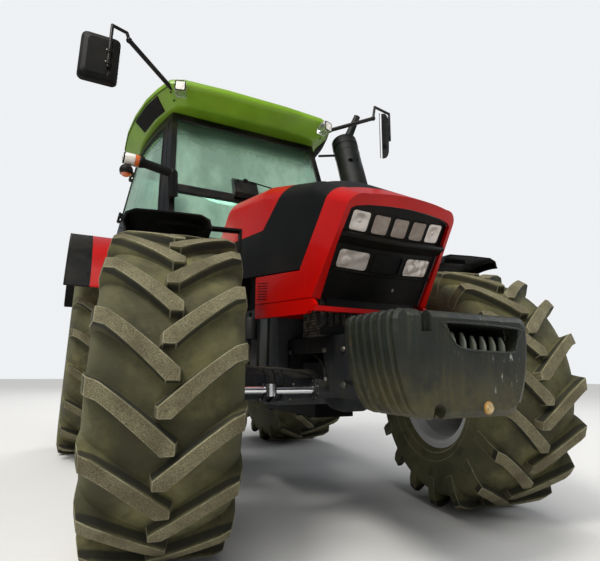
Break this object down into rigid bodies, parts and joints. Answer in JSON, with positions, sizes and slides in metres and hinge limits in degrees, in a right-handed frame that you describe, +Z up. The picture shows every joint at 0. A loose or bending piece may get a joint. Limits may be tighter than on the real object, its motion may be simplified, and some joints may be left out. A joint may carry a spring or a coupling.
{
  "type": "four-wheel-drive farm tractor with enclosed cab and front ballast plates",
  "caption": "Farm tractor with steered lugged wheels, tilting hood, cab with two opening doors, stacked front ballast and rear three-point linkage.",
  "frame": {"origin": "on the ground at the centre of the overall box, between the front ballast and the rear link ends", "axes": "+Z up, front of the tractor toward -Y, +X toward the left side of the tractor, +Y along its length to the rear"},
  "size_m": [2.975, 4.9086, 3.3809],
  "materials": {
    "rubber": "matte",
    "rim_paint": "satin",
    "cast_black": "satin",
    "black_plastic": "satin",
    "chrome_rod": "polished",
    "cast_grey": "satin",
    "radiator_core": "matte",
    "cast_weight": "matte",
    "red_paint": "gloss",
    "lamp_glass": "gloss",
    "black_paint": "satin",
    "tinted_glass": "gloss",
    "green_paint": "gloss",
    "seat_fabric": "matte",
    "grey_plastic": "satin",
    "exhaust_black": "satin"
  },
  "bodies": {
    "chassis": {"ballast_plates": "cast_weight", "bulkhead": "cast_black", "cab_floor": "black_paint", "cab_frame": "black_paint", "cab_roof": "green_paint", "cab_windows": "tinted_glass", "console": "grey_plastic", "engine_block": "cast_grey", "exhaust": "exhaust_black", "fender_extensions": "black_plastic", "front_axle": "cast_black", "front_frame": "cast_black", "hitch_frame": "cast_black", "lamps": "lamp_glass", "marker_lamp": "black_plastic", "mirror_arms": "black_paint", "mirror_heads": "black_plastic", "radiator": "radiator_core", "rear_axle": "cast_grey", "rear_fenders": "red_paint", "seat": "seat_fabric", "seat_base": "black_plastic", "side_panels": "red_paint", "steering_wheel": "black_plastic", "tank_and_steps": "black_plastic", "transmission": "cast_grey"},
    "hood": {"hood_band": "black_plastic", "hood_panels": "red_paint", "nose_panel": "black_plastic", "nose_lamps": "lamp_glass"},
    "door_left": {"door_left": "black_paint", "door_glass_left": "tinted_glass"},
    "door_right": {"door_right": "black_paint", "door_glass_right": "tinted_glass"},
    "knuckle_left": {"knuckle_left": "cast_black", "front_fender_left": "black_plastic"},
    "knuckle_right": {"knuckle_right": "cast_black", "front_fender_right": "black_plastic"},
    "wheel_front_left": {"tyre_front_left": "rubber", "rim_front_left": "rim_paint"},
    "wheel_front_right": {"tyre_front_right": "rubber", "rim_front_right": "rim_paint"},
    "wheel_rear_left": {"tyre_rear_left": "rubber", "rim_rear_left": "rim_paint"},
    "wheel_rear_right": {"tyre_rear_right": "rubber", "rim_rear_right": "rim_paint"},
    "steering_rod": {"steering_rod": "chrome_rod"},
    "lower_links": {"lower_links": "black_paint"},
    "lift_arms": {"lift_arms": "black_paint"},
    "lift_rods": {"lift_rods": "black_paint"}
  },
  "joints": [
    {"name": "hood_hinge", "type": "hinge", "parent": "chassis", "child": "hood", "pos_m": [0, -0.9025, 1.83], "axis": [-1, 0, 0], "range_deg": [0, 50]},
    {"name": "door_left_hinge", "type": "hinge", "parent": "chassis", "child": "door_left", "pos_m": [0.9388, 1.2725, 2.6], "axis": [-0.1561, 0, 0.9877], "range_deg": [0, 75]},
    {"name": "door_right_hinge", "type": "hinge", "parent": "chassis", "child": "door_right", "pos_m": [-0.9388, 1.2725, 2.6], "axis": [-0.1561, 0, -0.9877], "range_deg": [0, 75]},
    {"name": "steer_left", "type": "hinge", "parent": "chassis", "child": "knuckle_left", "pos_m": [0.817, -1.4925, 0.693], "axis": [0, 0, 1], "range_deg": [-22, 42]},
    {"name": "steer_right", "type": "hinge", "parent": "chassis", "child": "knuckle_right", "pos_m": [-0.817, -1.4925, 0.693], "axis": [0, 0, 1], "range_deg": [-22.01, 42.01]},
    {"name": "steering_rod_slide", "type": "slide", "parent": "chassis", "child": "steering_rod", "axis": [1, 0, 0], "range_m": [-0.0655, 0.125]},
    {"name": "front_left_spin", "type": "hinge", "parent": "knuckle_left", "child": "wheel_front_left", "pos_m": [0.90563, -1.50813, 0.693], "axis": [0.9848, -0.1736, 0], "continuous": true},
    {"name": "front_right_spin", "type": "hinge", "parent": "knuckle_right", "child": "wheel_front_right", "pos_m": [-0.90563, -1.47687, 0.693], "axis": [0.9848, -0.1736, 0], "continuous": true},
    {"name": "rear_left_spin", "type": "hinge", "parent": "chassis", "child": "wheel_rear_left", "pos_m": [0.995, 1.2525, 0.925], "axis": [1, 0, 0], "continuous": true},
    {"name": "rear_right_spin", "type": "hinge", "parent": "chassis", "child": "wheel_rear_right", "pos_m": [-0.995, 1.2525, 0.925], "axis": [1, 0, 0], "continuous": true},
    {"name": "lower_links_lift", "type": "hinge", "parent": "chassis", "child": "lower_links", "pos_m": [0, 1.4025, 0.48], "axis": [1, 0, 0], "range_deg": [-20, 32]},
    {"name": "lift_arms_turn", "type": "hinge", "parent": "chassis", "child": "lift_arms", "pos_m": [0, 1.6525, 1.05], "axis": [1, 0, 0], "range_deg": [-38.1, 60.9]},
    {"name": "lift_rods_turn", "type": "hinge", "parent": "lift_arms", "child": "lift_rods", "pos_m": [0, 1.9725, 1.05], "axis": [1, 0, 0], "range_deg": [-60.9, 38.1]}
  ],
  "couplings": [
    {"joint": "steer_right", "follows": "steer_left", "ratio": 1},
    {"joint": "steering_rod_slide", "follows": "steer_left", "m_per_rad": 0.17},
    {"joint": "lift_arms_turn", "follows": "lower_links_lift", "ratio": 1.9},
    {"joint": "lift_rods_turn", "follows": "lower_links_lift", "ratio": -1.9}
  ]
}
